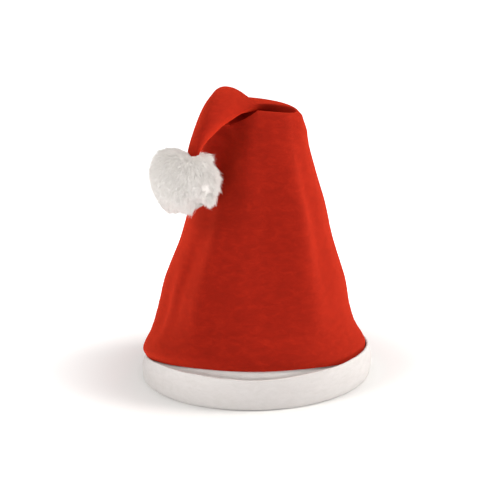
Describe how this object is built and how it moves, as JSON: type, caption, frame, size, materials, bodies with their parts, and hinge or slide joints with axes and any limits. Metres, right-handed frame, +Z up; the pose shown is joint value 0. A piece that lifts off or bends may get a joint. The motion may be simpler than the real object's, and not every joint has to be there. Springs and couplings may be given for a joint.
{
  "type": "santa hat",
  "caption": "Cone-shaped red felt santa hat standing on its folded white cuff, its tip folded over to the front with a fluffy white pompom.",
  "frame": {"origin": "middle of the cuff's base, on the surface that the hat stands on", "axes": "+Z up, +X to the right and -Y to the front, where the tip hangs down to the front left"},
  "size_m": [0.1932, 0.193, 0.2477],
  "materials": {
    "red_felt": "matt brushed felt with a short nap",
    "white_felt": "matt brushed felt",
    "white_pile": "soft long pile"
  },
  "bodies": {
    "root": {"crown": "red_felt", "cuff": "white_felt", "pompom": "white_pile"}
  },
  "joints": []
}
